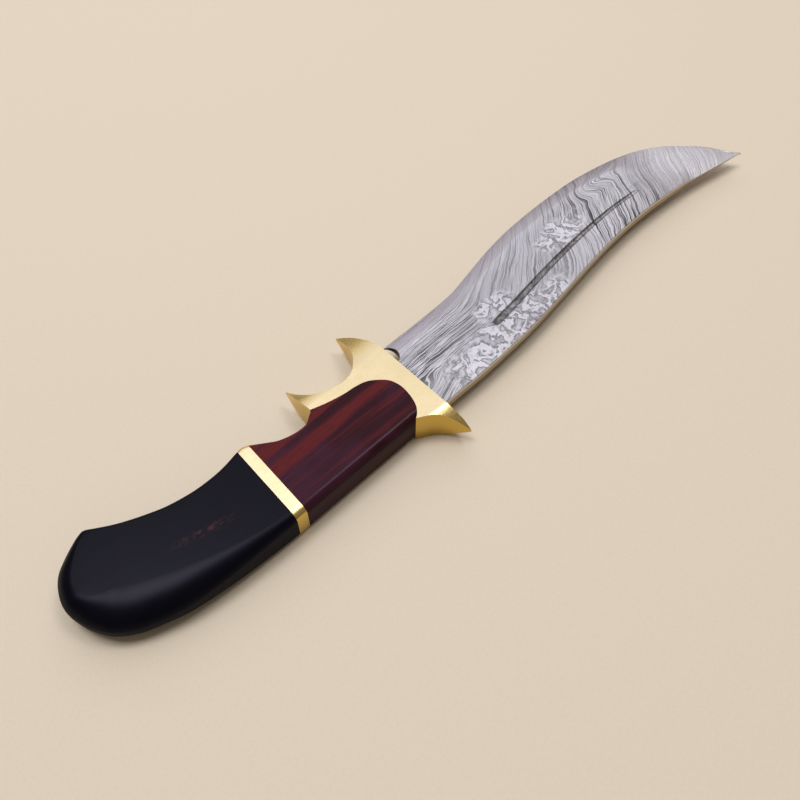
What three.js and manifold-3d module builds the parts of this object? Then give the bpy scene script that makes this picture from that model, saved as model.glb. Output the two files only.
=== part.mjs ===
// Fixed-blade hunting knife with a hidden tang, lying on its right side.
// Millimetres. +X runs along the blade to the tip, +Y towards the cutting edge, +Z up.
// The origin is on the guard's underside, midway between its front face and the grip.
import * as THREE from 'three';
import { mergeVertices } from 'three/addons/utils/BufferGeometryUtils.js';
import Module from 'manifold-3d';

const wasm = await Module();
wasm.setup();
const { lerp, clamp, smoothstep } = THREE.MathUtils;

// Driving dimensions
const handleThickness = 14.5;
const middle = handleThickness / 2;
const fitGap = 0.3;
const guardFront = 3.3;

const bladeThickness = 4.5;
const edgeThickness = 0.4;
const bevelWidth = 6.5;
const bevelLineThickness = 3.6;
const heelNotch = { x: 4.4, y: 15.6, radius: 4.9 };
const spineCorner = 0.4;
const distalTaper = { start: 135, end: 197, loss: 0.75 };
const pointTaper = { start: 184, end: 197, loss: 0.5 };
const fuller = { start: 43, end: 147, depth: 0.55, startWidth: 3.4, endWidth: 1.8, fadeIn: 3, fadeOut: 12 };
const swedge = { start: 156, full: 170, width: 5, spineThickness: 1 };

// Where the fuller lies across the blade, and the most that each facet takes of the blade's width.
const fullerPlace = { start: 0.33, end: 0.3 };
const widestShare = { bevel: 0.32, swedge: 0.2, fuller: 0.16 };

const tang = { y: -1, width: 13, thickness: 4.2, rearWidth: 8, end: -104 };
const slotClearance = 0.3;
const bore = { width: 16, thickness: 7.6, end: -108 };
const gripBed = { front: -8.5, rear: -57.5 };
const buttBed = { front: -65, rear: bore.end + fitGap };

// The spacer's front face leans: a point on it at the edge side and one at the spine side.
const spacerThickness = 4.3;
const spacerFront = { edgeSide: [-58, 19], spineSide: [-59.3, -14] };

// How far in and how far down the handle's edges are rounded, at the grip and towards the butt.
const gripRounding = { edgeInset: 1.6, edgeDrop: 1.6, spineInset: 3.6, spineDrop: 3 };
const buttRounding = { edgeInset: 1.6, edgeDrop: 3, endInset: 6, spineInset: 13, drop: 6.2 };

// Further than the handle reaches to any side of a joint.
const beyond = 60;

// Blade stations: distance along X, then the spine's and the cutting edge's Y.
const bladeStations = [
  [guardFront + fitGap, -14.1, 20], [25, -14.2, 20.3], [43, -13.5, 21], [56, -12.6, 23.5],
  [71, -10.8, 26.7], [85, -8.9, 28.7], [99, -7.1, 29.6], [113, -5.6, 29.8], [127, -4.8, 29.4],
  [140, -4.8, 27.8], [153, -5.5, 25.2], [164, -6.5, 21.6], [173, -7.8, 16.8], [181, -9.1, 10],
  [188.5, -10.3, 2], [194, -11.1, -7.8], [196.6, -11.6, -11.4],
];

// The handle's own outline, from the guard's back along the edge side, round the butt and back.
const edgeSide = [
  [-33.4, 14.6], [-35, 13.6], [-37.6, 11.9], [-40.6, 11.5], [-44.9, 12], [-49.3, 13.4],
  [-52.2, 15.2], [-57.9, 18.9], [-60.2, 19.7], [-62.6, 19.4], [-69, 18.1], [-75, 17.6],
  [-81.3, 17.8], [-87.4, 18.7], [-92.5, 19.9], [-97.5, 21.7], [-102.6, 23.8], [-107.7, 26.3],
  [-112.8, 29.4], [-114.8, 30.7], [-116.1, 31.2],
];
const buttEnd = [
  [-116.1, 31.2], [-117.5, 31.1], [-120.5, 30.2], [-125.7, 27.9], [-130.2, 24.9], [-133.3, 19.9],
  [-134.7, 14.2], [-133.9, 9], [-132, 3.8], [-128.3, -1.8], [-123, -5.9], [-117.7, -8.3],
  [-107.1, -11.5], [-96.5, -12.9], [-85.9, -13.6], [-75.3, -13.9], [-64.7, -14.1],
  [-54, -14], [-32.8, -13.8], [-9, -13.6],
];

// The uncut handle runs on past the guard's seat to these corners.
const uncutFront = [[10, -13.6], [10, 40], [-33.4, 40]];

// The curved seat that the guard and the grip share, from the spine side to the rear spur.
const gripSeat = [
  [-9, -13.6], [-7.3, -12.4], [-5.2, -9.6], [-3.8, -5.2], [-3.4, -0.2], [-4.6, 4.2],
  [-7.5, 7.4], [-11, 9.8], [-15.3, 10.9], [-20.4, 11.4], [-27, 12.7], [-33.4, 14.6],
];

// The guard's outer outline, from the rear spur through the finger groove to the spine-side spur.
const rearSpurBack = [[-33.4, 14.6], [-33.5, 20], [-33.2, 25.4], [-32.6, 30.1]];
const fingerGroove = [
  [-32.6, 30.1], [-31.8, 25.4], [-30.2, 21.7], [-27.2, 18.6], [-21.9, 16.1], [-16.2, 15.5],
  [-11.8, 16.8], [-8.6, 19.6], [-6, 23], [-4.5, 26.8], [-3.7, 31], [-3.2, 35.7],
];
const frontSpurFace = [[-3.2, 35.7], [-0.6, 32], [1.4, 27], [2.8, 22], [guardFront, 18]];
const spineSpurFace = [[guardFront, -15.5], [3.8, -20], [4.5, -24], [4.6, -27.9]];
const spineSpurBack = [[4.6, -27.9], [1.9, -23.2], [-0.4, -19.7], [-3.2, -16.9], [-9, -13.6]];

// Where each spur starts to thin towards its point.
const spurTapers = [
  { from: -18, to: 20, start: 17, tip: 35.7 },
  { from: -50, to: -18, start: 16, tip: 30.1 },
  { from: -20, to: 20, start: -15.5, tip: -27.9 },
];
const spurTipThickness = 1.2;
const spurTaperPower = 1.5;
const spurTaperSteps = 10;
const cutterMargin = 4;

const materials = {
  blade: new THREE.MeshStandardMaterial({ color: 0xb4b0b6, roughness: 0.42, metalness: 0.85 }),
  brass: new THREE.MeshStandardMaterial({ color: 0xd9a441, roughness: 0.3, metalness: 1 }),
  rosewood: new THREE.MeshStandardMaterial({ color: 0x4a1c22, roughness: 0.32, metalness: 0 }),
  horn: new THREE.MeshStandardMaterial({ color: 0x15141a, roughness: 0.25, metalness: 0 }),
  epoxy: new THREE.MeshStandardMaterial({ color: 0xb08b4a, roughness: 0.6, metalness: 0 }),
};

// Solid modelling helpers

function toSolid(geometry) {
  const bare = geometry.index ? geometry.toNonIndexed() : geometry.clone();
  bare.deleteAttribute('normal');
  bare.deleteAttribute('uv');
  const merged = mergeVertices(bare, 1e-4);
  const mesh = new wasm.Mesh({
    numProp: 3,
    vertProperties: new Float32Array(merged.attributes.position.array),
    triVerts: new Uint32Array(merged.index.array),
  });
  return new wasm.Manifold(mesh);
}

function toMesh(solid, name, material) {
  const shape = solid.getMesh();
  const geometry = new THREE.BufferGeometry();
  geometry.setAttribute('position', new THREE.BufferAttribute(shape.vertProperties, 3));
  geometry.setIndex(new THREE.BufferAttribute(shape.triVerts, 1));
  geometry.computeVertexNormals();
  const mesh = new THREE.Mesh(geometry, material);
  mesh.name = name;
  return mesh;
}

function smooth(points, steps) {
  const curve = new THREE.SplineCurve(points.map(([x, y]) => new THREE.Vector2(x, y)));
  return curve.getPoints(steps);
}

function prism(outline, bottom, top) {
  const shape = new THREE.Shape(outline);
  const geometry = new THREE.ExtrudeGeometry(shape, { depth: top - bottom, bevelEnabled: false });
  geometry.translate(0, 0, bottom);
  return toSolid(geometry);
}

function box(x0, x1, y0, y1, z0, z1) {
  const geometry = new THREE.BoxGeometry(x1 - x0, y1 - y0, z1 - z0);
  geometry.translate((x0 + x1) / 2, (y0 + y1) / 2, (z0 + z1) / 2);
  return toSolid(geometry);
}

// Joins rings of equally many points into one closed solid with flat end caps.
function stackRings(rings, capRing) {
  const count = rings[0].length;
  const positions = rings.flat().flatMap((point) => [point.x, point.y, point.z]);
  const index = [];
  for (let ring = 0; ring + 1 < rings.length; ring += 1) {
    for (let k = 0; k < count; k += 1) {
      const a = ring * count + k;
      const b = ring * count + ((k + 1) % count);
      index.push(a, b, b + count, a, b + count, a + count);
    }
  }
  const last = (rings.length - 1) * count;
  for (const [a, b, c] of capRing(rings[0])) index.push(c, b, a);
  for (const [a, b, c] of capRing(rings[rings.length - 1])) index.push(last + a, last + b, last + c);
  const geometry = new THREE.BufferGeometry();
  geometry.setAttribute('position', new THREE.Float32BufferAttribute(positions, 3));
  geometry.setIndex(index);
  return toSolid(geometry);
}

// A slab whose edges are rounded by an ellipse that may change along the outline.
function roundedSlab(outline, roundingAt, thickness, steps) {
  const inward = outline.map((point, k) => {
    const before = outline[(k + outline.length - 1) % outline.length];
    const after = outline[(k + 1) % outline.length];
    const along = after.clone().sub(before).normalize();
    return new THREE.Vector2(-along.y, along.x);
  });
  const rings = [];
  for (let step = 0; step <= 2 * steps + 1; step += 1) {
    const upper = step > steps;
    const angle = ((upper ? step - 1 - steps : steps - step) / steps) * (Math.PI / 2);
    rings.push(outline.map((point, k) => {
      const rounding = roundingAt(point);
      const inset = rounding.inset * (1 - Math.cos(angle));
      const drop = rounding.drop * (1 - Math.sin(angle));
      const height = upper ? thickness - drop : drop;
      return new THREE.Vector3(point.x + inward[k].x * inset, point.y + inward[k].y * inset, height);
    }));
  }
  return stackRings(rings, (ring) => THREE.ShapeUtils.triangulateShape(ring, []));
}

// Blade

function bladeSection(x, spineY, edgeY) {
  const chord = edgeY - spineY;
  const point = 1 - pointTaper.loss * smoothstep(x, pointTaper.start, pointTaper.end);
  const distal = 1 - distalTaper.loss * smoothstep(x, distalTaper.start, distalTaper.end);
  const half = (bladeThickness / 2) * distal * point;
  const swedgeAmount = smoothstep(x, swedge.start, swedge.full);
  const spineHalf = lerp(half, (swedge.spineThickness / 2) * point, swedgeAmount);
  const swedgeWidth = Math.min(spineCorner + swedge.width * swedgeAmount, chord * widestShare.swedge);
  const bevel = Math.min(bevelWidth, chord * widestShare.bevel);
  const bevelHalf = half * (bevelLineThickness / bladeThickness);
  const along = clamp((x - fuller.start) / (fuller.end - fuller.start), 0, 1);
  const centre = spineY + chord * lerp(fullerPlace.start, fullerPlace.end, along);
  const fadeIn = smoothstep(x, fuller.start, fuller.start + fuller.fadeIn);
  const fadeOut = 1 - smoothstep(x, fuller.end - fuller.fadeOut, fuller.end);
  const depth = fuller.depth * fadeIn * fadeOut;
  const width = Math.min(lerp(fuller.startWidth, fuller.endWidth, along), chord * widestShare.fuller);
  const reach = width / 2;
  const side = [
    [spineY, spineHalf],
    [spineY + swedgeWidth, half],
    [centre - reach, half],
    [centre - reach / 2, half - depth * 0.75],
    [centre, half - depth],
    [centre + reach / 2, half - depth * 0.75],
    [centre + reach, half],
    [edgeY - bevel, bevelHalf],
    [edgeY, edgeThickness / 2],
  ];
  const lower = side.map(([y, z]) => new THREE.Vector3(x, y, middle - z));
  const upper = side.map(([y, z]) => new THREE.Vector3(x, y, middle + z)).reverse();
  return [...lower, ...upper];
}

function makeBlade() {
  const curveOf = (column) => smooth(bladeStations.map((row) => [row[0], row[column]]), 80);
  const spine = curveOf(1);
  const edge = curveOf(2);
  const sections = spine.map((point, k) => bladeSection(point.x, point.y, edge[k].y));
  const strip = (ring) => {
    const faces = [];
    const last = ring.length - 1;
    for (let k = 0; k < ring.length / 2 - 1; k += 1) {
      faces.push([k, k + 1, last - k], [k + 1, last - k - 1, last - k]);
    }
    return faces;
  };
  const body = stackRings(sections, strip);
  const notch = new THREE.CylinderGeometry(heelNotch.radius, heelNotch.radius, handleThickness, 40);
  notch.rotateX(Math.PI / 2);
  notch.translate(heelNotch.x, heelNotch.y, middle);
  return body.subtract(toSolid(notch)).add(makeTang());
}

function tangOutline(grow) {
  const half = tang.width / 2 + grow;
  const rearHalf = tang.rearWidth / 2 + grow;
  return [
    new THREE.Vector2(tang.end - grow, tang.y - rearHalf),
    new THREE.Vector2(guardFront + 1, tang.y - half),
    new THREE.Vector2(guardFront + 1, tang.y + half),
    new THREE.Vector2(tang.end - grow, tang.y + rearHalf),
  ];
}

function makeTang() {
  const half = tang.thickness / 2;
  return prism(tangOutline(0), middle - half, middle + half);
}

function tangWithClearance() {
  const half = tang.thickness / 2 + slotClearance;
  return prism(tangOutline(slotClearance), middle - half, middle + half);
}

// Guard

function spurCutters({ from, to, start, tip }) {
  const pastTip = tip + Math.sign(tip) * cutterMargin;
  const rise = middle - spurTipThickness / 2;
  const profile = [];
  for (let step = 0; step <= spurTaperSteps; step += 1) {
    const y = lerp(start, pastTip, step / spurTaperSteps);
    profile.push([y, Math.min(rise * ((y - start) / (tip - start)) ** spurTaperPower, rise)]);
  }
  profile.push([pastTip, -cutterMargin], [start, -cutterMargin]);
  const wedge = (flip) => {
    const shape = new THREE.Shape(profile.map(([y, z]) => {
      return new THREE.Vector2(y, flip ? handleThickness - z : z);
    }));
    const geometry = new THREE.ExtrudeGeometry(shape, { depth: to - from, bevelEnabled: false });
    geometry.rotateX(Math.PI / 2);
    geometry.rotateZ(Math.PI / 2);
    geometry.translate(from, 0, 0);
    return toSolid(geometry);
  };
  return [wedge(false), wedge(true)];
}

function makeGuard() {
  const outline = [
    ...smooth(rearSpurBack, 6), ...smooth(fingerGroove, 44).slice(1),
    ...smooth(frontSpurFace, 12).slice(1), ...smooth(spineSpurFace, 8),
    ...smooth(spineSpurBack, 14).slice(1), ...smooth(gripSeat, 44).slice(1, -1),
  ];
  let guard = prism(outline.reverse(), 0, handleThickness);
  for (const cutter of spurTapers.flatMap(spurCutters)) guard = guard.subtract(cutter);
  return guard.subtract(tangWithClearance());
}

// Grip, spacer and butt, all cut from one rounded handle

function handleRounding({ x, y }) {
  const towardButt = smoothstep(-x, 62, 122);
  const roundEnd = smoothstep(-x, 114, 132);
  const towardSpine = smoothstep(-y, -14, 4);
  const gripInset = lerp(gripRounding.edgeInset, gripRounding.spineInset, towardSpine);
  const gripDrop = lerp(gripRounding.edgeDrop, gripRounding.spineDrop, towardSpine);
  const endInset = lerp(buttRounding.edgeInset, buttRounding.endInset, roundEnd);
  const buttInset = lerp(endInset, buttRounding.spineInset, towardSpine);
  const buttDrop = lerp(buttRounding.edgeDrop, buttRounding.drop, Math.max(roundEnd, towardSpine));
  return { inset: lerp(gripInset, buttInset, towardButt), drop: lerp(gripDrop, buttDrop, towardButt) };
}

function handleEnvelope() {
  const corners = uncutFront.map(([x, y]) => new THREE.Vector2(x, y));
  const outline = [...smooth(edgeSide, 64), ...smooth(buttEnd, 76).slice(1), ...corners];
  return roundedSlab(outline, handleRounding, handleThickness, 4);
}

// A slab of the handle between two joint planes that lean with the spacer.
function handleZone(front, rear) {
  const [edgeX, edgeY] = spacerFront.edgeSide;
  const [spineX, spineY] = spacerFront.spineSide;
  const lean = (edgeX - spineX) / (edgeY - spineY);
  const at = (shift, y) => new THREE.Vector2(spineX + shift + lean * (y - spineY), y);
  const corners = [at(front, beyond), at(rear, beyond), at(rear, -beyond), at(front, -beyond)];
  return prism(corners, -1, handleThickness + 1);
}

function gripZone() {
  const seat = smooth(gripSeat, 44);
  const inset = seat.map((point, k) => {
    const before = seat[Math.max(k - 1, 0)];
    const after = seat[Math.min(k + 1, seat.length - 1)];
    const along = after.clone().sub(before).normalize();
    return new THREE.Vector2(point.x - along.y * fitGap, point.y + along.x * fitGap);
  });
  const outline = [
    new THREE.Vector2(-2 * beyond, beyond), new THREE.Vector2(-2 * beyond, -beyond),
    new THREE.Vector2(inset[0].x, -beyond), ...inset, new THREE.Vector2(inset[inset.length - 1].x, beyond),
  ];
  return prism(outline, -1, handleThickness + 1);
}

// A block along the tang's line, as wide and as thick as the bore less a gap on each side.
function boreBlock(front, rear, gap) {
  const half = bore.width / 2 - gap;
  const halfHeight = bore.thickness / 2 - gap;
  return box(rear, front, tang.y - half, tang.y + half, middle - halfHeight, middle + halfHeight);
}

function epoxyBed({ front, rear }) {
  return boreBlock(front, rear, fitGap).subtract(tangWithClearance());
}

const envelope = handleEnvelope();
const wholeBore = boreBlock(beyond, bore.end, 0);
const gripBlank = envelope.intersect(gripZone()).intersect(handleZone(2 * beyond, fitGap));
const gripSolid = gripBlank.subtract(wholeBore);
const spacerSolid = envelope.intersect(handleZone(0, -spacerThickness)).subtract(tangWithClearance());
const buttZone = handleZone(-spacerThickness - fitGap, -2 * beyond);
const buttSolid = envelope.intersect(buttZone).subtract(wholeBore);

const knife = new THREE.Group();
knife.add(toMesh(makeBlade(), 'blade', materials.blade));
knife.add(toMesh(makeGuard(), 'guard', materials.brass));
knife.add(toMesh(gripSolid, 'grip', materials.rosewood));
knife.add(toMesh(epoxyBed(gripBed), 'grip_epoxy_bed', materials.epoxy));
knife.add(toMesh(spacerSolid, 'spacer', materials.brass));
knife.add(toMesh(buttSolid, 'butt', materials.horn));
knife.add(toMesh(epoxyBed(buttBed), 'butt_epoxy_bed', materials.epoxy));

export default knife;
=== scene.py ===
"""Hunting knife with a pattern-welded blade, a brass guard, and a rosewood and horn handle."""
import math

import bmesh
import bpy
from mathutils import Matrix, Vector


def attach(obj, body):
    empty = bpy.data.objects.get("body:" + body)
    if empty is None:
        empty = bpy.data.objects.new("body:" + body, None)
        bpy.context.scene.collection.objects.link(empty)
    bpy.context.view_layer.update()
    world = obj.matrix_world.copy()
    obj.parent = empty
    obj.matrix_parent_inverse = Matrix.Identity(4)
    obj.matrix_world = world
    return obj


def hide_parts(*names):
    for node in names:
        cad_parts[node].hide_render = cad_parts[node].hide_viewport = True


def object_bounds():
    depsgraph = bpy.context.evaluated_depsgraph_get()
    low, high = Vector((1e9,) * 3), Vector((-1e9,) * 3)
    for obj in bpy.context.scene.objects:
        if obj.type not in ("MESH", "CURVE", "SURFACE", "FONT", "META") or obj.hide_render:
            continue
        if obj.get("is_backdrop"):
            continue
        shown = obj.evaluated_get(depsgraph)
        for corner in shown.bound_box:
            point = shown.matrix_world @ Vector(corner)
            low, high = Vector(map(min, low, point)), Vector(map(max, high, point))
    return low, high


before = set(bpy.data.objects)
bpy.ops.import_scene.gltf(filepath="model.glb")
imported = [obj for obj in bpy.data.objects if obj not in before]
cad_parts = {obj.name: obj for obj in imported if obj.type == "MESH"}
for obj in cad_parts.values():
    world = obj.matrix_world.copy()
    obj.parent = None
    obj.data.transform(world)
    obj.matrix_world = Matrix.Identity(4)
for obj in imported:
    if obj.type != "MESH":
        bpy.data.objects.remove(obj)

cad_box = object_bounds()

# Driving dimensions, in millimetres, in the CAD frame: +X to the tip, +Y to the edge, +Z up.
MM = 0.001
THICKNESS = 14.5
MIDDLE = THICKNESS / 2
GUARD_FRONT = 3.3
JOINT_GAP = 0.06

# Further than the handle reaches to any side of a joint.
BEYOND = 60

# Blade. A taper is its start, its end and the share of the thickness that it takes away. The
# spine's easing and corner are a width and a drop. The notch is its centre's X and Y and its radius.
BLADE_THICKNESS = 4.5
DISTAL_TAPER = (135, 197, 0.75)
POINT_TAPER = (184, 197, 0.6)
SPINE_EASING = (0.3, 0.12)
SPINE_CORNER = (0.06, 0.15)
BEVEL_WIDTH = 6.5
BEVEL_LINE_THICKNESS = 3.6
BEVEL_LINE_EASING = 0.3
BEVEL_BULGE = 0.12
EDGE_THICKNESS = 0.4
HEEL_NOTCH = (4.4, 15.6, 4.9)

# Fuller and swedge. The fuller's place is its share of the way from the spine to the edge.
FULLER_START, FULLER_END = 43, 147
FULLER_FADE_IN, FULLER_FADE_OUT = 4, 12
FULLER_DEPTH = 0.55
FULLER_WIDTH = (3.4, 1.8)
FULLER_PLACE = (0.33, 0.30)
SWEDGE_START, SWEDGE_FULL = 156, 170
SWEDGE_WIDTH = 5
SWEDGE_SPINE_THICKNESS = 0.9

# The most that each facet takes of the blade's width.
WIDEST_BEVEL, WIDEST_SWEDGE, WIDEST_FULLER = 0.32, 0.2, 0.16

# The spacer's front face leans: a point on it at the edge side and one at the spine side.
SPACER_THICKNESS = 4.3
SPACER_FRONT = [(-58, 19), (-59.3, -14)]

# Where the handle's rounding changes: towards the butt and round its end along -X, and from the
# edge side to the spine side along -Y.
TOWARD_BUTT, ROUND_END = (62, 122), (114, 132)
TOWARD_SPINE = (-14, 4)

# How far in and how far down the handle's edges are rounded.
EDGE_SIDE_INSET = 1.6
GRIP_EDGE_DROP, BUTT_EDGE_DROP = 1.6, 3
GRIP_SPINE_INSET, GRIP_SPINE_DROP = 3.6, 3
BUTT_END_INSET, BUTT_SPINE_INSET, BUTT_DROP = 6, 13, 6.2

# The guard's broken edges, which stay sharp within a margin of the grip's seat, and how its spurs
# thin towards their points.
GUARD_EDGE_BREAK = 0.35
SEAT_MARGIN = 0.4
SPUR_TAPER_POWER = 1.5
SPUR_TIP_THICKNESS = 1.2
CUTTER_MARGIN = 4

# Creases sharper than this many degrees stay sharp in the shading.
BLADE_CREASE, CREASE = 22, 35

# How finely the curves are cut.
BLADE_RINGS = 320
ROUNDING_STEPS = 9
SPUR_STEPS = 16
NOTCH_STEPS = 96

# Blade stations: distance along X, then the spine's and the cutting edge's Y.
BLADE_STATIONS = [
    (GUARD_FRONT + JOINT_GAP, -14.1, 20), (25, -14.2, 20.3), (43, -13.5, 21), (56, -12.6, 23.5),
    (71, -10.8, 26.7), (85, -8.9, 28.7), (99, -7.1, 29.6), (113, -5.6, 29.8), (127, -4.8, 29.4),
    (140, -4.8, 27.8), (153, -5.5, 25.2), (164, -6.5, 21.6), (173, -7.8, 16.8), (181, -9.1, 10),
    (188.5, -10.3, 2), (194, -11.1, -7.8), (196.6, -11.6, -11.4),
]

# The handle's own outline, from the guard's back along the edge side, then round the butt and back.
HANDLE_EDGE_SIDE = [
    (-33.4, 14.6), (-35, 13.6), (-37.6, 11.9), (-40.6, 11.5), (-44.9, 12), (-49.3, 13.4),
    (-52.2, 15.2), (-57.9, 18.9), (-60.2, 19.7), (-62.6, 19.4), (-69, 18.1), (-75, 17.6),
    (-81.3, 17.8), (-87.4, 18.7), (-92.5, 19.9), (-97.5, 21.7), (-102.6, 23.8), (-107.7, 26.3),
    (-112.8, 29.4), (-114.8, 30.7), (-116.1, 31.2),
]
HANDLE_BUTT_END = [
    (-116.1, 31.2), (-117.5, 31.1), (-120.5, 30.2), (-125.7, 27.9), (-130.2, 24.9), (-133.3, 19.9),
    (-134.7, 14.2), (-133.9, 9), (-132, 3.8), (-128.3, -1.8), (-123, -5.9), (-117.7, -8.3),
    (-107.1, -11.5), (-96.5, -12.9), (-85.9, -13.6), (-75.3, -13.9), (-64.7, -14.1),
    (-54, -14), (-32.8, -13.8), (-9, -13.6),
]

# The curved seat that the guard and the grip share, from the spine side to the rear spur.
GRIP_SEAT = [
    (-9, -13.6), (-7.3, -12.4), (-5.2, -9.6), (-3.8, -5.2), (-3.4, -0.2), (-4.6, 4.2),
    (-7.5, 7.4), (-11, 9.8), (-15.3, 10.9), (-20.4, 11.4), (-27, 12.7), (-33.4, 14.6),
]

# The guard's outer outline, from the rear spur through the finger groove to the spine-side spur.
REAR_SPUR_BACK = [(-33.4, 14.6), (-33.5, 20), (-33.2, 25.4), (-32.6, 30.1)]
FINGER_GROOVE = [
    (-32.6, 30.1), (-31.8, 25.4), (-30.2, 21.7), (-27.2, 18.6), (-21.9, 16.1), (-16.2, 15.5),
    (-11.8, 16.8), (-8.6, 19.6), (-6, 23), (-4.5, 26.8), (-3.7, 31), (-3.2, 35.7),
]
FRONT_SPUR_FACE = [(-3.2, 35.7), (-0.6, 32), (1.4, 27), (2.8, 22), (GUARD_FRONT, 18)]
SPINE_SPUR_FACE = [(GUARD_FRONT, -15.5), (3.8, -20), (4.5, -24), (4.6, -27.9)]
SPINE_SPUR_BACK = [(4.6, -27.9), (1.9, -23.2), (-0.4, -19.7), (-3.2, -16.9), (-9, -13.6)]

# The uncut handle runs on past the guard's seat to these corners.
UNCUT_FRONT = [(10, -13.6), (10, 40), (-33.4, 40)]

# Each spur's lowest and highest X, then the Y where it starts to thin and its tip's Y.
SPUR_TAPERS = [(-18, 20, 17, 35.7), (-50, -18, 16, 30.1), (-20, 20, -15.5, -27.9)]


# Small helpers

def lerp(a, b, t):
    return a + (b - a) * t


def smoothstep(x, start, end):
    t = min(max((x - start) / (end - start), 0), 1)
    return t * t * (3 - 2 * t)


def smooth_curve(points, steps):
    """Catmull-Rom curve through the points, sampled evenly in its parameter."""
    result = []
    last = len(points) - 1
    for step in range(steps + 1):
        place = step / steps * last
        k = min(int(place), last - 1)
        t = place - k
        p0, p1 = points[max(k - 1, 0)], points[k]
        p2, p3 = points[k + 1], points[min(k + 2, last)]
        row = []
        for a, b, c, d in zip(p0, p1, p2, p3):
            v0, v1 = (c - a) / 2, (d - b) / 2
            row.append((2 * b - 2 * c + v0 + v1) * t ** 3 + (3 * c - 3 * b - 2 * v0 - v1) * t ** 2
                       + v0 * t + b)
        result.append(tuple(row))
    return result


def new_piece(name, bm):
    """Turns a millimetre bmesh into an object in metres."""
    bmesh.ops.recalc_face_normals(bm, faces=bm.faces)
    bmesh.ops.scale(bm, vec=(MM, MM, MM), verts=bm.verts)
    mesh = bpy.data.meshes.new(name)
    bm.to_mesh(mesh)
    bm.free()
    piece = bpy.data.objects.new(name, mesh)
    bpy.context.scene.collection.objects.link(piece)
    return piece


def apply_modifiers(piece):
    """Bakes the piece's modifiers into its mesh."""
    depsgraph = bpy.context.evaluated_depsgraph_get()
    baked = bpy.data.meshes.new_from_object(piece.evaluated_get(depsgraph))
    piece.modifiers.clear()
    piece.data = baked


def combine(piece, other, operation):
    """Cuts the piece with the other one, or keeps their common part."""
    modifier = piece.modifiers.new("cut", "BOOLEAN")
    modifier.operation = operation
    modifier.solver = "EXACT"
    modifier.object = other
    apply_modifiers(piece)
    bpy.data.objects.remove(other)


def shade(piece, angle):
    """Smooth shading with creases, weighted so that flat faces stay flat."""
    piece.data.shade_smooth()
    piece.data.set_sharp_from_angle(angle=math.radians(angle))
    modifier = piece.modifiers.new("weighted", "WEIGHTED_NORMAL")
    modifier.keep_sharp = True
    modifier.weight = 80
    apply_modifiers(piece)


def prism(name, outline, bottom, top):
    """A flat outline raised from one height to another."""
    bm = bmesh.new()
    base = bm.faces.new([bm.verts.new((x, y, bottom)) for x, y in outline])
    raised = bmesh.ops.extrude_face_region(bm, geom=[base])["geom"]
    moved = [item for item in raised if isinstance(item, bmesh.types.BMVert)]
    bmesh.ops.translate(bm, vec=(0, 0, top - bottom), verts=moved)
    return new_piece(name, bm)


def stack_rings(bm, rings):
    """Skins rings of equally many points. Returns the rings' vertices."""
    rows = [[bm.verts.new(point) for point in ring] for ring in rings]
    count = len(rows[0])
    for lower, upper in zip(rows, rows[1:]):
        for k in range(count):
            after = (k + 1) % count
            bm.faces.new((lower[k], lower[after], upper[after], upper[k]))
    return rows


# Blade

def taper(x, start, end, loss):
    """The share of the thickness left at a distance along the blade."""
    return 1 - loss * smoothstep(x, start, end)


def fuller_section(x, spine, chord, half):
    """The points across the fuller, as a shallow arc sunk in the blade's face."""
    along = min(max((x - FULLER_START) / (FULLER_END - FULLER_START), 0), 1)
    centre = spine + chord * lerp(*FULLER_PLACE, along)
    depth = FULLER_DEPTH * smoothstep(x, FULLER_START, FULLER_START + FULLER_FADE_IN)
    depth *= 1 - smoothstep(x, FULLER_END - FULLER_FADE_OUT, FULLER_END)
    reach = min(lerp(*FULLER_WIDTH, along), chord * WIDEST_FULLER) / 2
    steps = [k / 4 - 1 for k in range(9)]
    return [(centre + reach * t, half - depth * (1 - t * t)) for t in steps]


def blade_side(x, spine, edge):
    """Half section from the spine to the cutting edge: (Y, half thickness) pairs."""
    chord = edge - spine
    point = taper(x, *POINT_TAPER)
    half = BLADE_THICKNESS / 2 * taper(x, *DISTAL_TAPER) * point
    swedge = smoothstep(x, SWEDGE_START, SWEDGE_FULL)
    easing_width, easing_drop = SPINE_EASING
    spine_half = lerp(half - easing_drop * point, SWEDGE_SPINE_THICKNESS / 2 * point, swedge)
    swedge_width = min(easing_width + SWEDGE_WIDTH * swedge, chord * WIDEST_SWEDGE)
    bevel = min(BEVEL_WIDTH, chord * WIDEST_BEVEL)
    bevel_half = half * BEVEL_LINE_THICKNESS / BLADE_THICKNESS
    corner_width, corner_drop = SPINE_CORNER
    side = [(spine, spine_half - corner_drop * point), (spine + corner_width, spine_half)]
    side.append((spine + swedge_width, half))
    side += fuller_section(x, spine, chord, half)
    side.append((edge - bevel - BEVEL_LINE_EASING, bevel_half + 0.02))
    side.append((edge - bevel + BEVEL_LINE_EASING, bevel_half - 0.05))
    for t in (0.35, 0.7):
        bulge = BEVEL_BULGE * bevel_half * math.sin(math.pi * t)
        side.append((edge - bevel * (1 - t), lerp(bevel_half, EDGE_THICKNESS / 2, t) + bulge))
    side += [(edge - 0.12, EDGE_THICKNESS / 2 + 0.03), (edge, EDGE_THICKNESS / 4)]
    return side


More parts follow.
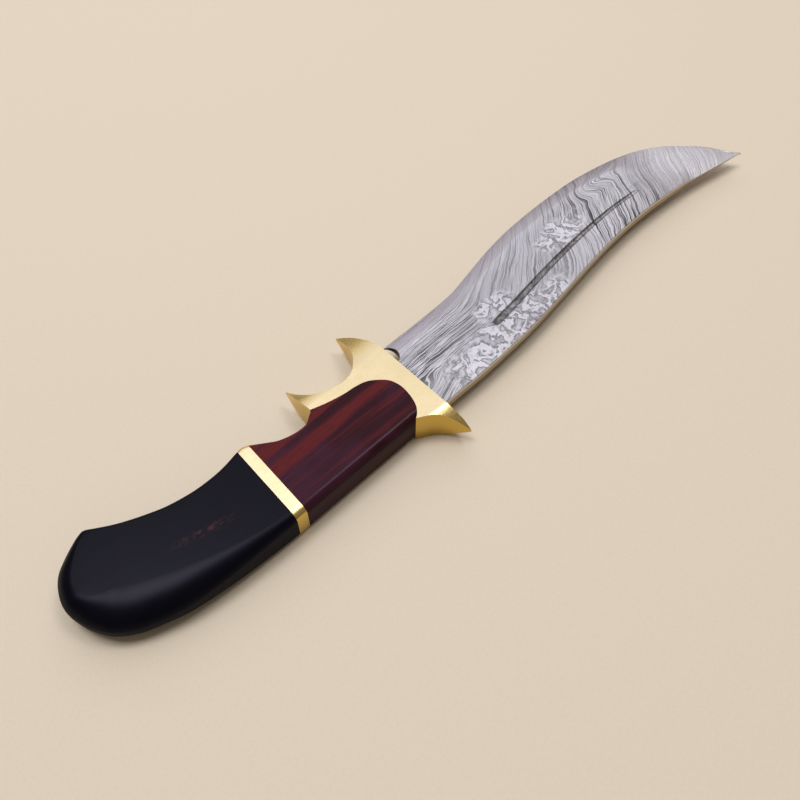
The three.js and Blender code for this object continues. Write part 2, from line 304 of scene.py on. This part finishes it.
def make_blade():
    """The sections skinned from the guard to the tip, with the heel notch cut out."""
    bm = bmesh.new()
    rings = []
    for x, spine, edge in smooth_curve(BLADE_STATIONS, BLADE_RINGS):
        side = blade_side(x, spine, edge)
        upper = [(x, y, MIDDLE + z) for y, z in side]
        lower = [(x, y, MIDDLE - z) for y, z in reversed(side)]
        rings.append(upper + lower)
    rows = stack_rings(bm, rings)
    for row in (rows[0], rows[-1]):
        last = len(row) - 1
        for k in range(len(row) // 2 - 1):
            bm.faces.new((row[k], row[k + 1], row[last - k - 1], row[last - k]))
    blade = new_piece("blade_forged", bm)
    x, y, radius = HEEL_NOTCH
    angles = [k * math.tau / NOTCH_STEPS for k in range(NOTCH_STEPS)]
    circle = [(x + radius * math.cos(angle), y + radius * math.sin(angle)) for angle in angles]
    combine(blade, prism("heel_notch", circle, 0, THICKNESS), "DIFFERENCE")
    shade(blade, BLADE_CREASE)
    return blade


# Guard

def spur_cutters(x0, x1, start, tip):
    """Two curved wedges, one above and one below, that thin a spur towards its point."""
    beyond = tip + math.copysign(CUTTER_MARGIN, tip)
    rise = MIDDLE - SPUR_TIP_THICKNESS / 2
    profile = []
    for k in range(SPUR_STEPS + 1):
        y = lerp(start, beyond, k / SPUR_STEPS)
        share = min((y - start) / (tip - start), 1)
        profile.append((y, rise * share ** SPUR_TAPER_POWER))
    profile += [(beyond, -CUTTER_MARGIN), (start, -CUTTER_MARGIN)]
    for flip in (False, True):
        bm = bmesh.new()
        points = [(x0, y, THICKNESS - z if flip else z) for y, z in profile]
        base = bm.faces.new([bm.verts.new(point) for point in points])
        raised = bmesh.ops.extrude_face_region(bm, geom=[base])["geom"]
        moved = [item for item in raised if isinstance(item, bmesh.types.BMVert)]
        bmesh.ops.translate(bm, vec=(x1 - x0, 0, 0), verts=moved)
        yield new_piece("spur_cutter", bm)


def guard_outline():
    """The guard's closed outline, from the rear spur round to the grip's seat."""
    return (smooth_curve(REAR_SPUR_BACK, 16) + smooth_curve(FINGER_GROOVE, 120)[1:]
            + smooth_curve(FRONT_SPUR_FACE, 32)[1:] + smooth_curve(SPINE_SPUR_FACE, 24)
            + smooth_curve(SPINE_SPUR_BACK, 40)[1:] + smooth_curve(GRIP_SEAT, 120)[1:-1])


def make_guard():
    """The outline raised to the handle's thickness, with its spurs thinned and its edges broken."""
    guard = prism("guard_filed", guard_outline(), 0, THICKNESS)
    for spur in SPUR_TAPERS:
        for cutter in spur_cutters(*spur):
            combine(guard, cutter, "DIFFERENCE")
    soften_edges(guard, GUARD_EDGE_BREAK)
    shade(guard, CREASE)
    return guard


def on_seat(point):
    """True near the guard's seat, where its edges stay sharp against the grip."""
    seat = smooth_curve(GRIP_SEAT, 60)
    x, y = point.x / MM, point.y / MM
    return min(math.hypot(x - a, y - b) for a, b in seat) < SEAT_MARGIN


def soften_edges(piece, width):
    """Rounds the piece's sharp edges, apart from those along the grip's seat."""
    bm = bmesh.new()
    bm.from_mesh(piece.data)
    bmesh.ops.dissolve_limit(bm, angle_limit=math.radians(0.5), verts=bm.verts, edges=bm.edges)
    sharp = [edge for edge in bm.edges
             if edge.is_manifold and edge.calc_face_angle(0) > math.radians(32)
             and not on_seat((edge.verts[0].co + edge.verts[1].co) / 2)]
    bmesh.ops.bevel(bm, geom=sharp, offset=width * MM, segments=3, profile=0.5,
                    affect="EDGES", clamp_overlap=True)
    bm.to_mesh(piece.data)
    bm.free()


# Handle: one rounded envelope, cut at its joints

def edge_rounding(x, y):
    """How far in and how far down the handle's edge is rounded at a point of its outline."""
    toward_butt = smoothstep(-x, *TOWARD_BUTT)
    round_end = smoothstep(-x, *ROUND_END)
    toward_spine = smoothstep(-y, *TOWARD_SPINE)
    grip_inset = lerp(EDGE_SIDE_INSET, GRIP_SPINE_INSET, toward_spine)
    grip_drop = lerp(GRIP_EDGE_DROP, GRIP_SPINE_DROP, toward_spine)
    end_inset = lerp(EDGE_SIDE_INSET, BUTT_END_INSET, round_end)
    butt_inset = lerp(end_inset, BUTT_SPINE_INSET, toward_spine)
    butt_drop = lerp(BUTT_EDGE_DROP, BUTT_DROP, max(round_end, toward_spine))
    return lerp(grip_inset, butt_inset, toward_butt), lerp(grip_drop, butt_drop, toward_butt)


def make_envelope(name):
    """The whole handle in one piece, rounded along both faces. Its outline runs on past the guard."""
    outline = smooth_curve(HANDLE_EDGE_SIDE, 200) + smooth_curve(HANDLE_BUTT_END, 240)[1:]
    outline += UNCUT_FRONT
    count = len(outline)
    inward = []
    for k in range(count):
        along = Vector(outline[(k + 1) % count]) - Vector(outline[k - 1])
        inward.append(Vector((-along.y, along.x)).normalized())
    rings = []
    steps = ROUNDING_STEPS
    for step in range(2 * steps + 2):
        upper = step > steps
        angle = ((step - 1 - steps) if upper else (steps - step)) / steps * math.pi / 2
        ring = []
        for (x, y), normal in zip(outline, inward):
            inset, drop = edge_rounding(x, y)
            lift = drop * (1 - math.sin(angle))
            shift = normal * inset * (1 - math.cos(angle))
            ring.append((x + shift.x, y + shift.y, THICKNESS - lift if upper else lift))
        rings.append(ring)
    bm = bmesh.new()
    rows = stack_rings(bm, rings)
    caps = [bm.faces.new(rows[0]), bm.faces.new(rows[-1])]
    bmesh.ops.triangulate(bm, faces=caps)
    return new_piece(name, bm)


def zone(name, front, rear):
    """The slab between two joint planes that lean with the spacer."""
    (edge_x, edge_y), (spine_x, spine_y) = SPACER_FRONT
    lean = (edge_x - spine_x) / (edge_y - spine_y)
    corners = [(spine_x + shift + lean * (y - spine_y), y)
               for shift, y in ((front, BEYOND), (rear, BEYOND), (rear, -BEYOND), (front, -BEYOND))]
    return prism(name, corners, -1, THICKNESS + 1)


def make_grip():
    """The envelope between the guard's seat, set back by the joint gap, and the spacer."""
    grip = make_envelope("grip_rosewood")
    seat = smooth_curve(GRIP_SEAT, 120)
    inset = []
    for k, (x, y) in enumerate(seat):
        along = Vector(seat[min(k + 1, len(seat) - 1)]) - Vector(seat[max(k - 1, 0)])
        along.normalize()
        inset.append((x - along.y * JOINT_GAP, y + along.x * JOINT_GAP))
    rear = -2 * BEYOND
    outline = [(rear, BEYOND), (rear, -BEYOND), (inset[0][0], -BEYOND)]
    outline += inset + [(inset[-1][0], BEYOND)]
    combine(grip, prism("grip_zone", outline, -1, THICKNESS + 1), "INTERSECT")
    combine(grip, zone("grip_rear", 2 * BEYOND, JOINT_GAP), "INTERSECT")
    shade(grip, CREASE)
    return grip


def make_spacer():
    spacer = make_envelope("spacer_brass")
    combine(spacer, zone("spacer_zone", 0, -SPACER_THICKNESS), "INTERSECT")
    shade(spacer, CREASE)
    return spacer


def make_butt():
    butt = make_envelope("butt_horn")
    combine(butt, zone("butt_zone", -SPACER_THICKNESS - JOINT_GAP, -2 * BEYOND), "INTERSECT")
    shade(butt, CREASE)
    return butt


# Materials

class Field:
    """A number that varies over a surface, so that a formula reads as plain arithmetic."""

    def __init__(self, nodes, socket):
        self.nodes = nodes
        self.socket = socket

    def __add__(self, other):
        return self.nodes.math("ADD", self, other)

    def __sub__(self, other):
        return self.nodes.math("SUBTRACT", self, other)

    def __rsub__(self, other):
        return self.nodes.math("SUBTRACT", other, self)

    def __mul__(self, other):
        return self.nodes.math("MULTIPLY", self, other)

    def __abs__(self):
        return self.nodes.math("ABSOLUTE", self)

    __radd__ = __add__


class Nodes:
    """A short way to write a material's node graph."""

    def __init__(self, name):
        self.material = bpy.data.materials.new(name)
        self.material.use_nodes = True
        self.tree = self.material.node_tree
        self.shader = self.tree.nodes["Principled BSDF"]

    def add(self, kind, inputs=None, **settings):
        node = self.tree.nodes.new(kind)
        for key, value in settings.items():
            setattr(node, key, value)
        for key, value in (inputs or {}).items():
            self.feed(node.inputs[key], value)
        return node

    def feed(self, socket, value):
        """Links a socket or sets a value, with colours as three or four numbers."""
        if isinstance(value, Field):
            value = value.socket
        if isinstance(value, bpy.types.NodeSocket):
            self.tree.links.new(value, socket)
        elif isinstance(value, tuple) and socket.type == "RGBA":
            socket.default_value = (*value[:3], 1)
        else:
            socket.default_value = value

    def math(self, operation, *values):
        node = self.add("ShaderNodeMath", operation=operation)
        for socket, value in zip(node.inputs, values):
            self.feed(socket, value)
        return Field(self, node.outputs[0])

    def point(self, x, y, z):
        return self.add("ShaderNodeCombineXYZ", {"X": x, "Y": y, "Z": z}).outputs[0]

    def noise(self, vector, scale=1.0, detail=2.0, roughness=0.5, distortion=0.0):
        node = self.add("ShaderNodeTexNoise", {
            "Vector": vector, "Scale": scale, "Detail": detail,
            "Roughness": roughness, "Distortion": distortion})
        return Field(self, node.outputs["Fac"])

    def ramp(self, value, start, end, low=0.0, high=1.0):
        """A smooth step from low to high while the value goes from start to end."""
        node = self.add("ShaderNodeMapRange", {
            "Value": value, "From Min": start, "From Max": end,
            "To Min": low, "To Max": high}, interpolation_type="SMOOTHSTEP")
        return Field(self, node.outputs[0])

    def bell(self, value, centre, reach):
        """One at the centre, falling smoothly to zero at the reach on either side."""
        return self.ramp(abs(value - centre), 0.0, reach, 1.0, 0.0)

    def rise(self, value, start, softness):
        """Zero before the start, then the distance past it, with a soft turn between them."""
        return self.math("SMOOTH_MAX", value - start, 0.0, softness)

    def colors(self, value, stops):
        node = self.add("ShaderNodeValToRGB", {"Fac": value})
        elements = node.color_ramp.elements
        while len(elements) < len(stops):
            elements.new(0.5)
        for element, (place, color) in zip(elements, stops):
            element.position = place
            element.color = (*color, 1)
        return node.outputs[0]

    def mix(self, factor, a, b, blend_type="MIX"):
        node = self.add("ShaderNodeMix", data_type="RGBA", blend_type=blend_type)
        for socket, value in zip((node.inputs[0], node.inputs[6], node.inputs[7]), (factor, a, b)):
            self.feed(socket, value)
        return node.outputs[2]

    def bump(self, height, strength, distance):
        return self.add("ShaderNodeBump", {
            "Height": height, "Strength": strength, "Distance": distance}).outputs[0]

    def finish(self, **inputs):
        for key, value in inputs.items():
            label = key.replace("_", " ").title().replace("Ior", "IOR")
            self.feed(self.shader.inputs[label], value)
        return self.material

    def position_mm(self):
        """The point's place in the knife's frame, in millimetres, as X, Y and Z."""
        place = self.add("ShaderNodeTexCoord").outputs["Object"]
        per_mm = (1 / MM,) * 3
        scaled = self.add("ShaderNodeVectorMath", {0: place, 1: per_mm}, operation="MULTIPLY")
        split = self.add("ShaderNodeSeparateXYZ", {0: scaled.outputs[0]}).outputs
        return [Field(self, socket) for socket in split]

    def surface_normal(self):
        normal = self.add("ShaderNodeNewGeometry").outputs["Normal"]
        split = self.add("ShaderNodeSeparateXYZ", {0: normal}).outputs
        return [Field(self, socket) for socket in split]


# Grey levels of the etched steel against noise, where its layers are cut steeply and where flat.
STEEL_LINES = [
    (0.36, 0.05), (0.40, 0.10), (0.43, 0.55), (0.475, 0.48), (0.50, 0.17),
    (0.525, 0.52), (0.57, 0.42), (0.60, 0.09), (0.64, 0.50),
]
STEEL_POOLS = [
    (0.33, 0.52), (0.42, 0.33), (0.45, 0.15), (0.475, 0.58), (0.53, 0.50),
    (0.57, 0.31), (0.59, 0.14), (0.61, 0.35), (0.68, 0.54),
]

# Where the layers bend up from the heel and over the belly, and where they fold back, along X.
HEEL_BEND, BELLY_BEND = 44, 90
FOLD_PLACE, FOLD_REACH, FOLD_LENGTH = 132, 20, 13


def grey(level, warmth=0.0):
    """Steel grey, slightly blue unless it is warmed."""
    return (level * (1 + warmth), level * 0.995, level * (1.12 - warmth))


def greys(stops):
    return [(place, grey(level)) for place, level in stops]


def steel_layers(n, x, y, place):
    """The height in the stack of forged layers at each point of the blade."""
    fold = n.bell(x, FOLD_PLACE, FOLD_REACH) * (n.ramp(y, 15, 22) - n.ramp(y, 22, 26) * 0.5)
    along = x + fold * FOLD_LENGTH
    past_heel = n.rise(along, HEEL_BEND + n.ramp(y, -8, 18, 12, 0), 9.0)
    past_belly = n.rise(along, BELLY_BEND, 25.0)
    climb = along * 0.04 + past_heel * 0.42 + past_belly * 0.12
    spread = n.ramp(x, 45, 105, 1.0, 0.6)
    fan = n.ramp(x, 4, 22, 1.0, 0.0) * n.ramp(y, 0, -6) * 4
    wave = n.noise(place, 0.04, 1.0, 0.5) - 0.5
    ripple = n.noise(n.point(x * 0.5, y, 0.0), 0.35, 2.0, 0.5) - 0.5
    return (y - 8) * spread - climb + fan + wave * 3.5 + ripple * 0.9


def layer_lines(n, x, y, place):
    """Fine dark lines on light steel, along the layers, with a few much stronger ones."""
    layer = steel_layers(n, x, y, place)
    clearest = n.bell(x, 18, 40) * 0.5 + n.bell(x, 124, 40) * 0.5 + 0.5
    contrast = n.ramp(n.noise(place, 0.055, 1.0), 0.36, 0.64, 1.0, 0.7) * clearest
    fine = n.noise(n.point(x * 0.025, layer, 0.0), 0.8, 2.0, 0.6)
    strong = n.noise(n.point(x * 0.015, layer, 13.0), 0.6, 2.0, 0.5)
    dark = n.bell(strong, 0.43, 0.025) + n.bell(strong, 0.58, 0.018)
    color = n.mix(contrast, grey(0.40), n.colors(fine, greys(STEEL_LINES)))
    return n.mix(dark * contrast, color, grey(0.03)), fine - dark * 0.3


def flat_pools(n, place):
    """Light and grey patches with ragged darker outlines, where the layers lie nearly flat."""
    cloud = n.noise(place, 0.15, 5.0, 0.55, 0.3)
    return n.colors(cloud, greys(STEEL_POOLS)), cloud


def pool_mask(n, x, y, place):
    """One along the spine from the heel, over the fuller at the belly, and at the fuller's start."""
    ragged = (n.noise(place, 0.12, 3.0, 0.55) - 0.5) * 16
    low = n.ramp(y + ragged, 1.0, -4) * n.ramp(x + ragged, 12, 20) * n.ramp(x + ragged, 88, 74)
    belly = n.bell(x + ragged, 100, 20) * n.bell(y + ragged * 0.5, 12, 9)
    island = n.bell(x + ragged, 50, 14) * n.bell(y + ragged * 0.5, 4, 8)
    return n.math("MAXIMUM", low, n.ramp(n.math("MAXIMUM", belly, island), 0.05, 0.5))


def polished_facets_and_tip_highlight(n, color, x, y, below_face):
    """The bevel and the blade's last quarter are polished, so the pattern nearly vanishes there;
    their very light grey towards the tip is partly a painted highlight.
    """
    bevel = n.ramp(below_face, 0.3, 0.7) * n.ramp(y, 11, 13)
    plain = n.math("MAXIMUM", bevel * 0.65, n.ramp(x, 146, 172) * 0.8)
    # Very light grey towards the tip: polished steel, partly a painted highlight.
    lilac = n.mix(bevel * n.ramp(x, 170, 150), grey(0.88), (0.46, 0.43, 0.50))
    return n.mix(plain, color, lilac)


def stained_fuller(n, color, x, y, below_face, place):
    """A dark mottled stain in the fuller, fainter towards the tip."""
    from_centre = abs(y - n.ramp(x, FULLER_START, 113, -2, 5.6))
    inside = n.ramp(below_face, 0.04, 0.22) * n.ramp(from_centre, 3.4, 2.4) * n.ramp(x, 152, 142)
    mottle = n.ramp(n.noise(place, 0.5, 3.0), 0.35, 0.65, 0.92, 0.4)
    fading = n.ramp(x, 80, 150, 1.0, 0.55)
    return n.mix(inside * mottle * fading, color, grey(0.09, 0.04))


def painted_spine_and_notch_shade(n, color, x, y, z):
    """The spine is bare of pattern, with a warm painted reflection of the pale floor along its upper
    half and painted shade below it, and the heel notch's wall is painted dark as shade.
    """
    upright = n.ramp(abs(n.surface_normal()[2]), 0.5, 0.3)
    # Painted reflection of the pale floor on the spine's upper half, and painted shade on its lower
    # half.
    spine = n.mix(n.ramp(z, MIDDLE + 1.2, MIDDLE + 0.2), (0.66, 0.6, 0.52), (0.4, 0.32, 0.22))
    color = n.mix(upright * n.ramp(y, 3, 0), color, spine)
    # Painted shade: the heel notch's wall is darkened to near black.
    return n.mix(upright * n.ramp(x, 13, 11) * n.ramp(y, 8, 10), color, (0.03, 0.02, 0.015))


def damascus_steel():
    """Etched layers: fine lines where they are cut steeply, and pools where they lie flat."""
    n = Nodes("pattern_welded_steel")
    x, y, z = n.position_mm()
    place = n.point(x, y, z * 0.3)
    lines, line_relief = layer_lines(n, x, y, place)
    pools, pool_relief = flat_pools(n, place)
    pool = pool_mask(n, x, y, place)
    brighter = n.mix(n.ramp(x, 50, 140), (1, 1, 1), (1.32, 1.32, 1.32))
    color = n.mix(1.0, n.mix(pool, lines, pools), brighter, "MULTIPLY")
    below_face = BLADE_THICKNESS / 2 - abs(z - MIDDLE)
    # Polished facets, with a painted highlight in the tip's light grey.
    color = polished_facets_and_tip_highlight(n, color, x, y, below_face)
    color = stained_fuller(n, color, x, y, below_face, place)
    # Painted reflection and shade on the spine, and painted shade on the heel notch's wall.
    color = painted_spine_and_notch_shade(n, color, x, y, z)
    relief = line_relief * (1 - pool) + pool_relief * pool
    normal = n.bump(relief, 0.3, 0.5 * MM)
    return n.finish(base_color=color, metallic=1.0, roughness=0.42, normal=normal)


def brass():
    """Satin brass, glossier on the filed walls; pale painted highlight on lying faces, gold painted
    shade on walls.
    """
    n = Nodes("satin_brass")
    x, y, z = n.position_mm()
    clouds = n.noise(n.point(x, y, z), 0.12, 3.0)
    scratches = n.noise(n.point(x * 0.5, y * 6, z), 1.2, 3.0, 0.6)
    # Painted light: the pale colour of the lying faces is a painted highlight, and the deeper golds
    # of slanted faces and upright walls are painted shade from the floor.
    flat = n.colors(clouds, [(0.3, (0.67, 0.56, 0.35)), (0.7, (0.72, 0.61, 0.40))])
    facing = abs(n.surface_normal()[2])
    upright = n.ramp(facing, 0.9, 0.4)
    sloping = n.mix(n.ramp(facing, 0.99, 0.93), flat, (0.82, 0.63, 0.27))
    color = n.mix(upright, sloping, (0.65, 0.44, 0.09))
    rough = n.ramp(scratches, 0.3, 0.7, 0.24, 0.36) - upright * 0.14
    normal = n.bump(scratches, 0.12, 0.05 * MM)
    return n.finish(base_color=color, metallic=1.0, roughness=rough, normal=normal)


def rosewood():
    """Purple-brown wood with broad red streaks and fine dark pores, with painted shade darkening the
    grip's sides.
    """
    n = Nodes("polished_rosewood")
    x, y, z = n.position_mm()
    place = n.point(x, y, z)
    bend = n.noise(place, 0.02, 2.0) * 8
    bands = n.noise(n.point(x * 0.03, y + bend, z), 0.2, 3.0, 0.5)
    pores = n.noise(n.point(x * 0.15, y * 3, z * 3), 1.1, 2.0)
    purple = n.ramp(n.noise(place, 0.045, 1.0), 0.4, 0.6)
    dark = n.mix(purple, (0.028, 0.007, 0.012), (0.044, 0.013, 0.028))
    color = n.mix(n.ramp(bands, 0.46, 0.6), dark, (0.105, 0.014, 0.017))
    color = n.mix(n.ramp(pores, 0.46, 0.36) * 0.3, color, (0.008, 0.003, 0.005))
    facing = abs(n.surface_normal()[2])
    # Painted shade: the grip's sides and lower rounding are darkened towards near black.
    color = n.mix(n.ramp(facing, 0.7, 0.2, 0.0, 0.6), color, (0.008, 0.003, 0.003))
    normal = n.bump(pores, 0.12, 0.05 * MM)
    rough = n.ramp(facing, 0.4, 0.8, 0.5, 0.2)
    return n.finish(base_color=color, roughness=rough, specular_ior_level=0.11,
                    specular_tint=(1, 0.7, 0.8, 1), normal=normal)


def horn():
    """Nearly black horn with one faint reddish streak of growth lines along its left side."""
    n = Nodes("polished_horn")
    x, y, z = n.position_mm()
    growth = n.noise(n.point(x * 0.12, y, z), 0.3, 4.0, 0.6)
    streak = n.bell(x, -88, 15) * n.bell(y + (x + 88) * 0.22, 3, 2.4) * n.ramp(z, MIDDLE, THICKNESS)
    flecks = n.ramp(n.noise(n.point(x * 0.5, y, z), 0.9, 3.0, 0.6), 0.46, 0.6)
    color = n.mix(growth, (0.001, 0.001, 0.003), (0.003, 0.003, 0.007))
    color = n.mix(streak * flecks, color, (0.06, 0.018, 0.02))
    normal = n.bump(growth + streak * flecks * 0.6, 0.08, 0.12 * MM)
    rough = n.ramp(abs(n.surface_normal()[2]), 0.9, 0.4, 0.32, 0.6)
    return n.finish(base_color=color, roughness=rough, specular_ior_level=0.1,
                    specular_tint=(0.75, 0.75, 1, 1), normal=normal)


def cured_epoxy():
    """Clouded amber resin, hidden inside the handle."""
    n = Nodes("cured_epoxy")
    x, y, z = n.position_mm()
    clouds = n.noise(n.point(x, y, z), 0.5)
    color = n.colors(clouds, [(0.3, (0.35, 0.22, 0.08)), (0.7, (0.5, 0.34, 0.14))])
    return n.finish(base_color=color, roughness=0.6)


def pale_floor():
    """A plain warm surface with a very fine grain."""
    n = Nodes("pale_floor")
    x, y, z = n.position_mm()
    grain = n.noise(n.point(x, y, z), 0.9, 3.0, 0.6)
    color = n.colors(grain, [(0.3, (0.72, 0.645, 0.54)), (0.7, (0.75, 0.675, 0.57))])
    return n.finish(base_color=color, roughness=0.85, normal=n.bump(grain, 0.1, 0.2 * MM))


# Stage: floor, light and camera

# The view: heading from +Y towards +X, elevation, distance in metres and focal length. Floor in mm.
VIEW_HEADING = math.radians(43.86)
VIEW_ELEVATION = math.radians(57)
VIEW_DISTANCE = 0.3176
VIEW_TARGET = Vector((-0.0013, 0.0025, 0))
VIEW_LENS = 38.25
FLOOR_REACH = 1500
RIGHT = Vector((math.cos(VIEW_HEADING), -math.sin(VIEW_HEADING), 0))
AWAY = Vector((math.sin(VIEW_HEADING), math.cos(VIEW_HEADING), 0))


def aim(thing, target):
    direction = target - thing.location
    thing.rotation_euler = direction.to_track_quat("-Z", "Y").to_euler()


def make_camera():
    """A camera that looks down on the knife from its spine side, off the butt."""
    data = bpy.data.cameras.new("camera")
    data.lens = VIEW_LENS
    data.clip_start = 0.01
    camera = bpy.data.objects.new("camera", data)
    bpy.context.scene.collection.objects.link(camera)
    lift = Vector((0, 0, math.sin(VIEW_ELEVATION)))
    camera.location = VIEW_TARGET + VIEW_DISTANCE * (lift - AWAY * math.cos(VIEW_ELEVATION))
    aim(camera, VIEW_TARGET)
    bpy.context.scene.camera = camera


def soft_light(name, direction, distance, size, power, color):
    """A square softbox that faces the knife from a direction (right, away, up) of the view."""
    data = bpy.data.lights.new(name, "AREA")
    data.size = size
    data.energy = power
    data.color = color
    light = bpy.data.objects.new(name, data)
    bpy.context.scene.collection.objects.link(light)
    right, away, up = direction
    toward = (RIGHT * right + AWAY * away + Vector((0, 0, up))).normalized()
    light.location = VIEW_TARGET + toward * distance
    aim(light, VIEW_TARGET)


def make_world():
    world = bpy.data.worlds.new("studio")
    world.use_nodes = True
    background = world.node_tree.nodes["Background"]
    background.inputs["Color"].default_value = (1, 0.84, 0.64, 1)
    background.inputs["Strength"].default_value = 0.22
    bpy.context.scene.world = world


def make_floor():
    bm = bmesh.new()
    bmesh.ops.create_grid(bm, x_segments=2, y_segments=2, size=FLOOR_REACH)
    floor = new_piece("floor", bm)
    floor.data.materials.append(pale_floor())
    floor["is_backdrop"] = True


bpy.context.scene.view_settings.view_transform = "Standard"
make_camera()
make_world()
make_floor()
soft_light("overhead", (-0.12, 0.62, 0.78), 1.6, 1.8, 10, (0.97, 0.97, 1))
soft_light("key", (-0.24, 0.06, 0.97), 1.7, 0.6, 12.5, (1, 0.98, 0.96))
soft_light("glint", (0.3, 0.15, 0.94), 1.7, 0.45, 5, (1, 0.97, 0.93))

steel = damascus_steel()
brass_finish = brass()
epoxy = cured_epoxy()
PIECES = [
    (make_blade, "blade", "blade_steel", steel),
    (make_guard, "guard", "guard_brass", brass_finish),
    (make_grip, "grip", "rosewood", rosewood()),
    (make_spacer, "spacer", "spacer_brass", brass_finish),
    (make_butt, "butt", "horn", horn()),
]
for make, node, slot, material in PIECES:
    piece = make()
    piece.data.materials.clear()
    piece.data.materials.append(material)
    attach(piece, "root")
    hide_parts(node)
for node in ("grip_epoxy_bed", "butt_epoxy_bed"):
    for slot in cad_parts[node].material_slots:
        slot.material = epoxy

[[list(corner) for corner in box] for box in (cad_box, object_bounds())]
